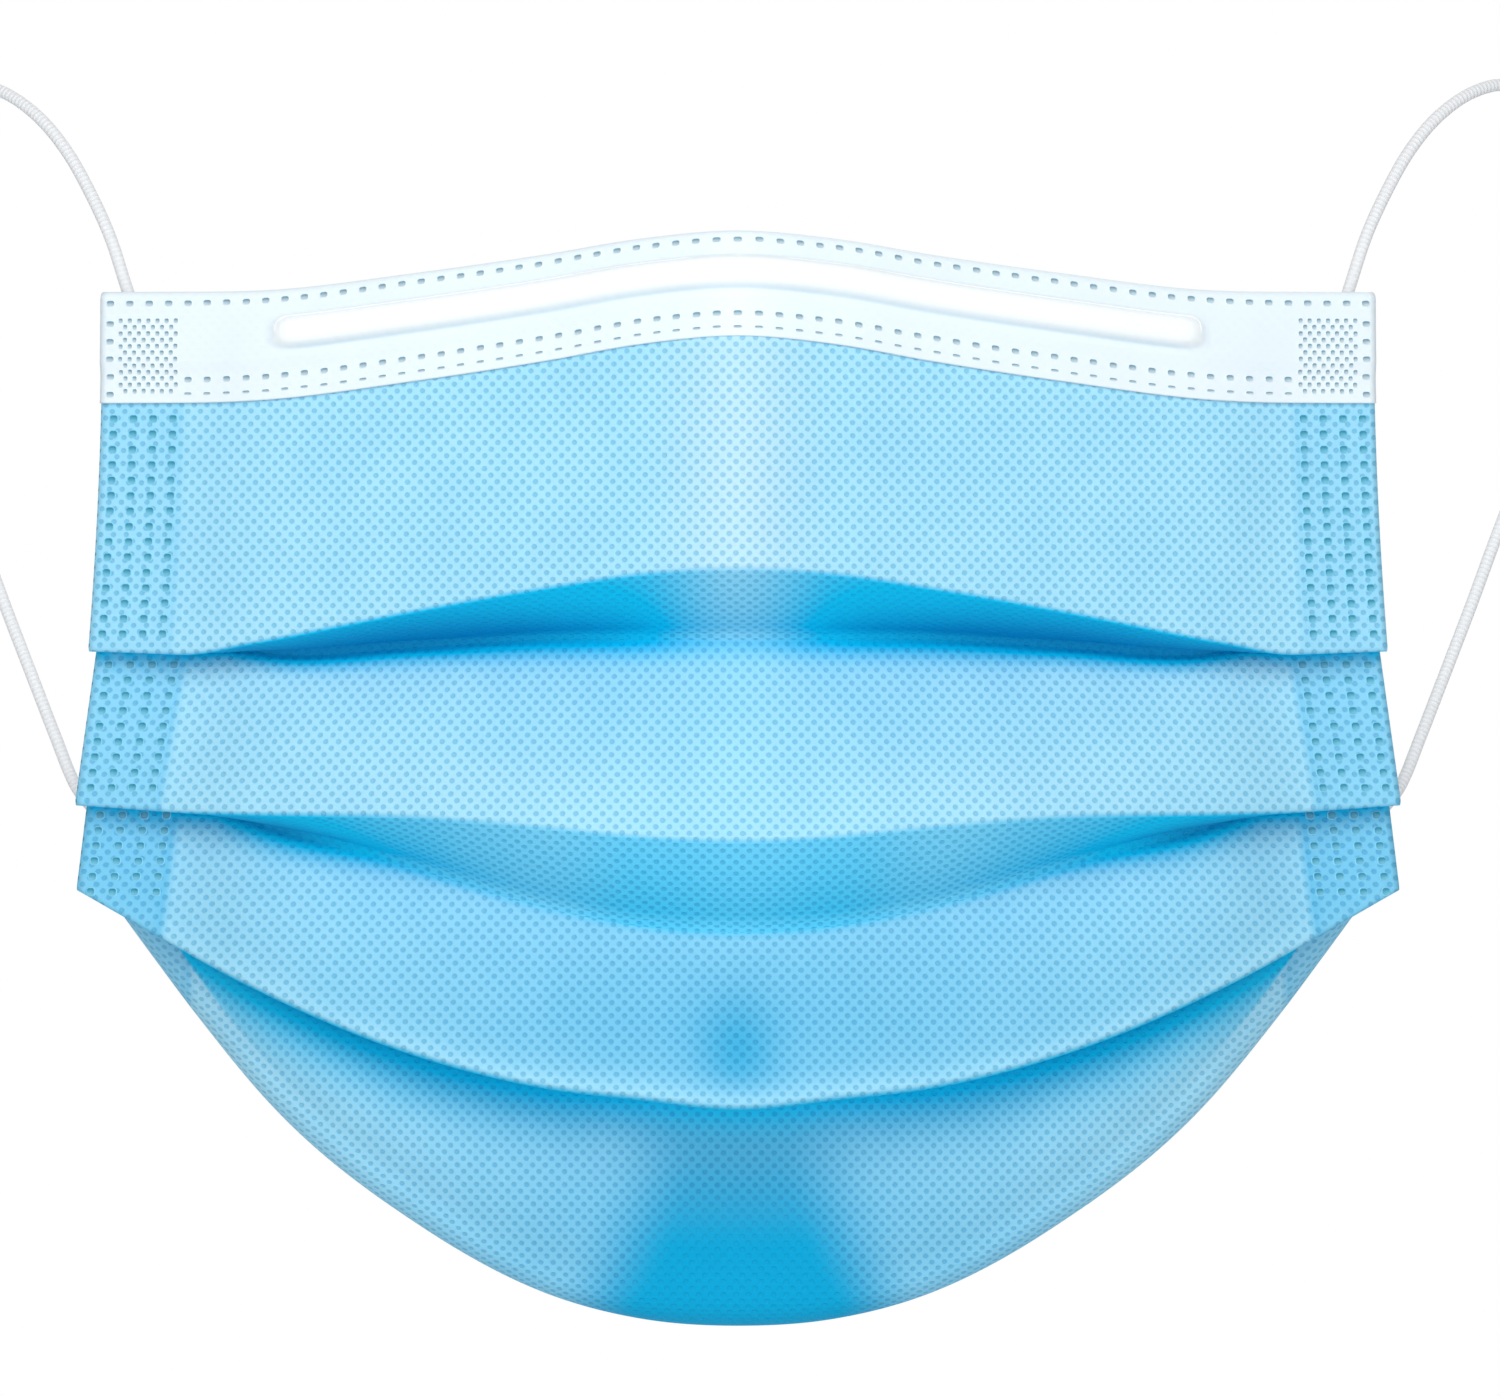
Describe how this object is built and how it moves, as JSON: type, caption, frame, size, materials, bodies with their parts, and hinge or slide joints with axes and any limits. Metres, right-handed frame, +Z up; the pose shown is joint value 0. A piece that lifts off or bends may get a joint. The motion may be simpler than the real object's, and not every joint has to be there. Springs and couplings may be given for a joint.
{
  "type": "disposable face mask",
  "caption": "Pleated nonwoven face mask in its worn shape, with a wired nose band and an elastic loop for each ear.",
  "frame": {"origin": "middle of the opening that takes the face: half the mask's width, half its height, level with the upper side edges", "axes": "+X along the width to the right as seen from the front, -Y forwards out of the front, +Z up towards the nose band"},
  "size_m": [0.2064, 0.0855, 0.1501],
  "materials": {
    "blue_nonwoven": "light blue point-bonded nonwoven",
    "white_nonwoven": "white point-bonded nonwoven",
    "coated_wire": "white plastic-coated flat wire",
    "white_elastic": "white knitted elastic"
  },
  "bodies": {
    "root": {"face_panel": "blue_nonwoven", "nose_band": "white_nonwoven", "nose_wire": "coated_wire", "ear_loop_left": "white_elastic", "ear_loop_right": "white_elastic"}
  },
  "joints": []
}
